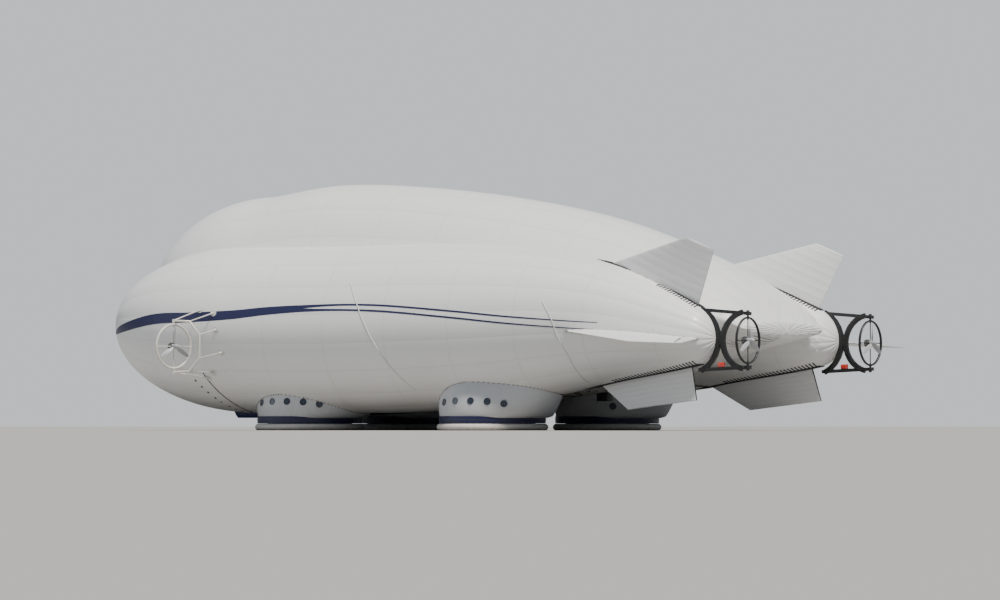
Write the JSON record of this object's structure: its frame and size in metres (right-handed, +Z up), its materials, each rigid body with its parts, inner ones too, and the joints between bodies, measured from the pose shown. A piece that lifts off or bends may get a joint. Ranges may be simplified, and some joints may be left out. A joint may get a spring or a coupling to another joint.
{
  "type": "hybrid airship with three lobes and air-cushion pads",
  "caption": "Hybrid airship: three joined fabric lobes, air-cushion landing pads, slim gondola, tail fins and swivelling ducted propellers.",
  "frame": {"origin": "on the floor, under the middle of the airship's length and width", "axes": "nose along -X, port side along -Y, +Z up"},
  "size_m": [38.0003, 22.2006, 12.1529],
  "materials": {
    "hull_fabric": "coated white laminate, satin",
    "pad_fabric": "coated light grey fabric",
    "navy_fabric": "coated navy fabric",
    "skirt_rubber": "dark pleated rubber sheet",
    "carbon": "black carbon laminate",
    "white_metal": "off-white paint",
    "engine_metal": "dull grey casting",
    "blade_grey": "grey composite",
    "fin_skin": "white skin on foam and spars",
    "gondola_paint": "navy blue paint",
    "window_glass": "dark tinted glazing",
    "lamp_red": "red"
  },
  "bodies": {
    "airframe": {"envelope_port": "hull_fabric", "envelope_starboard": "hull_fabric", "envelope_crown": "hull_fabric", "envelope_belly": "hull_fabric", "belly_box": "carbon", "gondola_cabin": "gondola_paint", "gondola_bay": "gondola_paint", "gondola_windscreen": "window_glass", "gondola_window_1_port": "window_glass", "gondola_window_2_port": "window_glass", "pad_fairing_front_port": "pad_fabric", "pad_band_front_port": "navy_fabric", "pad_lip_front_port": "pad_fabric", "pad_skirt_front_port": "skirt_rubber", "pad_fairing_rear_port": "pad_fabric", "pad_band_rear_port": "navy_fabric", "pad_lip_rear_port": "pad_fabric", "pad_skirt_rear_port": "skirt_rubber", "bow_mount_port": "white_metal", "stern_frame_port": "carbon", "stern_lamp_port": "lamp_red", "stern_strap_upper_port": "carbon", "stern_strap_lower_port": "carbon", "fin_upper_port": "fin_skin", "fin_side_port": "fin_skin", "fin_lower_port": "fin_skin", "gondola_window_1_starboard": "window_glass", "gondola_window_2_starboard": "window_glass", "pad_fairing_front_starboard": "pad_fabric", "pad_band_front_starboard": "navy_fabric", "pad_lip_front_starboard": "pad_fabric", "pad_skirt_front_starboard": "skirt_rubber", "pad_fairing_rear_starboard": "pad_fabric", "pad_band_rear_starboard": "navy_fabric", "pad_lip_rear_starboard": "pad_fabric", "pad_skirt_rear_starboard": "skirt_rubber", "bow_mount_starboard": "white_metal", "stern_frame_starboard": "carbon", "stern_lamp_starboard": "lamp_red", "stern_strap_upper_starboard": "carbon", "stern_strap_lower_starboard": "carbon", "fin_upper_starboard": "fin_skin", "fin_side_starboard": "fin_skin", "fin_lower_starboard": "fin_skin"},
    "bow_thruster_port": {"bow_duct_port": "white_metal", "bow_engine_port": "engine_metal"},
    "bow_propeller_port_body": {"bow_propeller_port": "blade_grey"},
    "bow_thruster_starboard": {"bow_duct_starboard": "white_metal", "bow_engine_starboard": "engine_metal"},
    "bow_propeller_starboard_body": {"bow_propeller_starboard": "blade_grey"},
    "stern_thruster_port": {"stern_duct_port": "carbon", "stern_engine_port": "engine_metal"},
    "stern_propeller_port_body": {"stern_propeller_port": "blade_grey"},
    "stern_thruster_starboard": {"stern_duct_starboard": "carbon", "stern_engine_starboard": "engine_metal"},
    "stern_propeller_starboard_body": {"stern_propeller_starboard": "blade_grey"},
    "gondola_door_body": {"gondola_door": "gondola_paint"}
  },
  "joints": [
    {"name": "bow_thruster_port_swivel", "type": "hinge", "parent": "airframe", "child": "bow_thruster_port", "pos_m": [-11.7, -9.45, 4.1], "axis": [0, 0, 1], "range_deg": [-74, 106]},
    {"name": "bow_propeller_port_spin", "type": "hinge", "parent": "bow_thruster_port", "child": "bow_propeller_port_body", "pos_m": [-11.7, -9.45, 4.1], "axis": [0.9613, -0.2756, 0], "continuous": true},
    {"name": "bow_thruster_starboard_swivel", "type": "hinge", "parent": "airframe", "child": "bow_thruster_starboard", "pos_m": [-11.7, 9.45, 4.1], "axis": [0, 0, 1], "range_deg": [-106, 74]},
    {"name": "bow_propeller_starboard_spin", "type": "hinge", "parent": "bow_thruster_starboard", "child": "bow_propeller_starboard_body", "pos_m": [-11.7, 9.45, 4.1], "axis": [0.9613, 0.2756, 0], "continuous": true},
    {"name": "stern_thruster_port_swivel", "type": "hinge", "parent": "airframe", "child": "stern_thruster_port", "pos_m": [18.62, -5.9, 4.22], "axis": [0, 0, 1], "range_deg": [-75, 75]},
    {"name": "stern_propeller_port_spin", "type": "hinge", "parent": "stern_thruster_port", "child": "stern_propeller_port_body", "pos_m": [18.62, -5.9, 4.22], "axis": [1, 0, 0], "continuous": true},
    {"name": "stern_thruster_starboard_swivel", "type": "hinge", "parent": "airframe", "child": "stern_thruster_starboard", "pos_m": [18.62, 5.9, 4.22], "axis": [0, 0, 1], "range_deg": [-75, 75]},
    {"name": "stern_propeller_starboard_spin", "type": "hinge", "parent": "stern_thruster_starboard", "child": "stern_propeller_starboard_body", "pos_m": [18.62, 5.9, 4.22], "axis": [1, 0, 0], "continuous": true},
    {"name": "gondola_door_hinge", "type": "hinge", "parent": "airframe", "child": "gondola_door_body", "pos_m": [-10.65, -0.84, 0.87], "axis": [1, 0, 0], "range_deg": [0, 115]}
  ]
}
